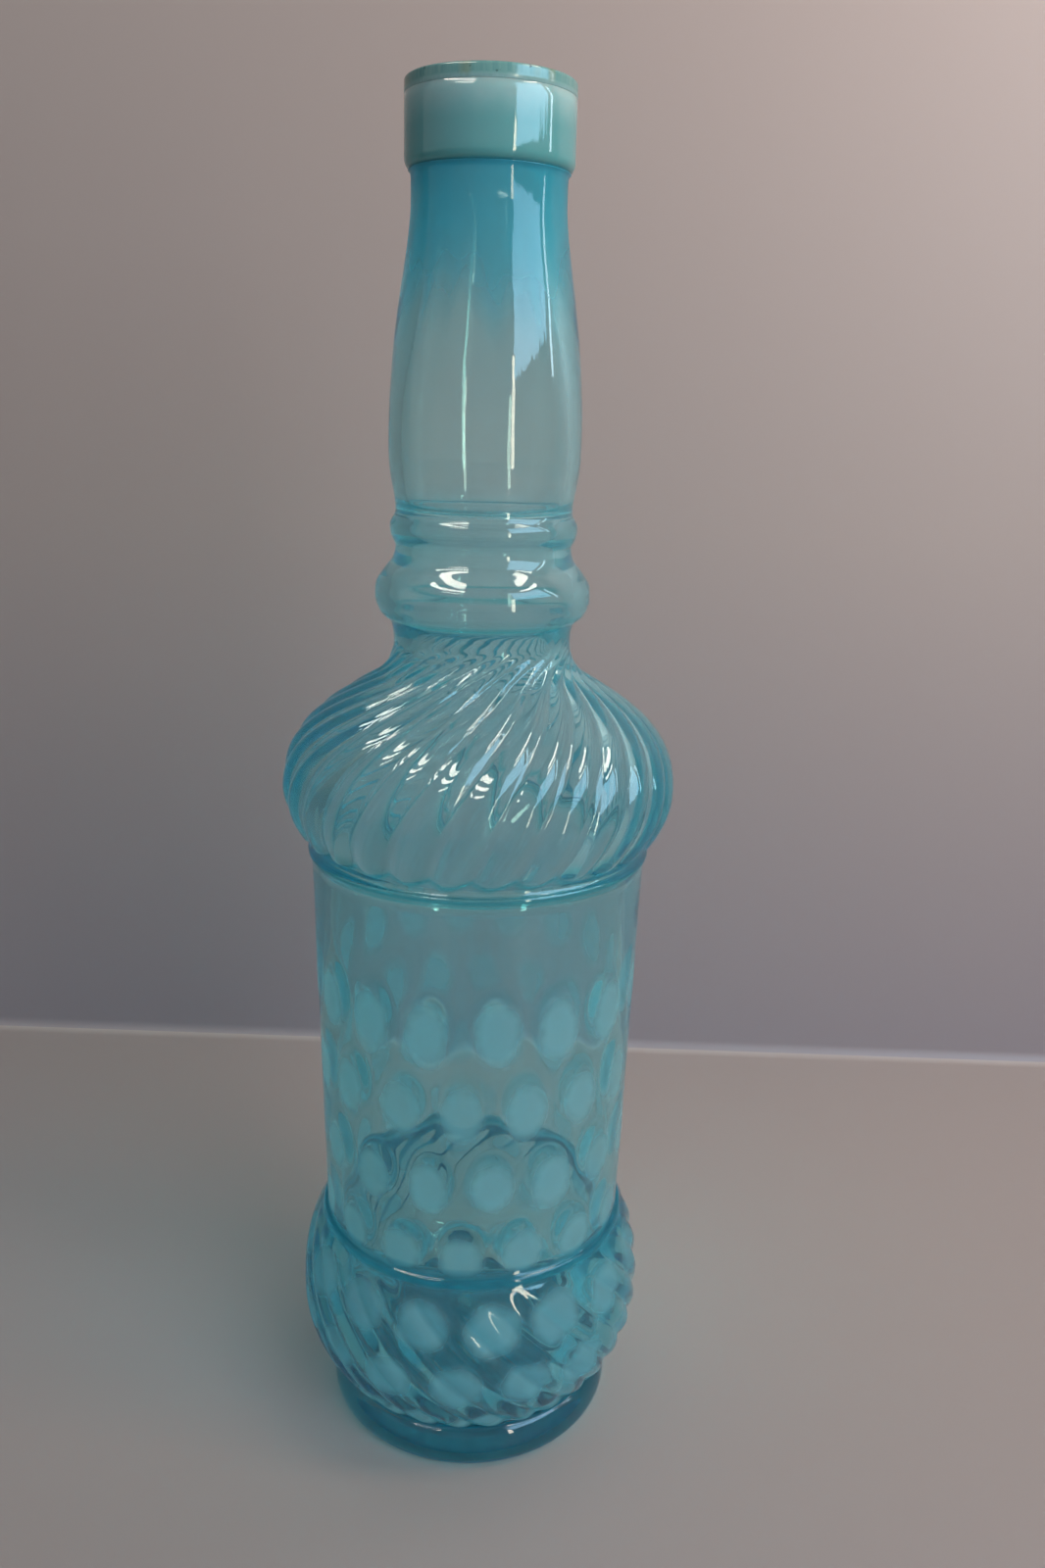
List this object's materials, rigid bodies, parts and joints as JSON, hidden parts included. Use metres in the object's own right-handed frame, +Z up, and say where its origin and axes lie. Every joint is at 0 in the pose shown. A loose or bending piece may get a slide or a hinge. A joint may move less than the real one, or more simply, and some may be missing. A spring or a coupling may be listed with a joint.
{
  "type": "barber bottle",
  "caption": "Tall glass barber bottle with a ringed neck, opal collar, swirl-ribbed shoulder and base bulge, and a barrel with milky coin spots; holds a lotion and pours through the mouth.",
  "frame": {"origin": "centre of the foot's underside, on the plane the bottle stands on", "axes": "+Z up the bottle's axis from foot to mouth, -Y towards the side that faces the camera in the picture, +X to that side's right"},
  "size_m": [0.078, 0.078, 0.27],
  "materials": {
    "aqua_glass": "fire-polished clear blue-green glass",
    "aqua_glass_foot": "fire-polished thick blue-green glass",
    "opal_glass": "glossy milky opal glass",
    "ground_glass": "ground and chipped glass edge"
  },
  "bodies": {
    "root": {"foot": "aqua_glass_foot", "base_bulge": "aqua_glass", "barrel": "aqua_glass", "ledge_ring": "aqua_glass", "shoulder": "aqua_glass", "large_neck_ring": "aqua_glass", "small_neck_ring": "aqua_glass", "neck": "aqua_glass", "lip_collar": "opal_glass", "ground_rim": "ground_glass", "barrel_spots_row_1": "opal_glass", "barrel_spots_row_2": "opal_glass", "barrel_spots_row_3": "opal_glass", "barrel_spots_row_4": "opal_glass", "bulge_spots_row_1": "opal_glass", "bulge_spots_row_2": "opal_glass"}
  },
  "joints": []
}
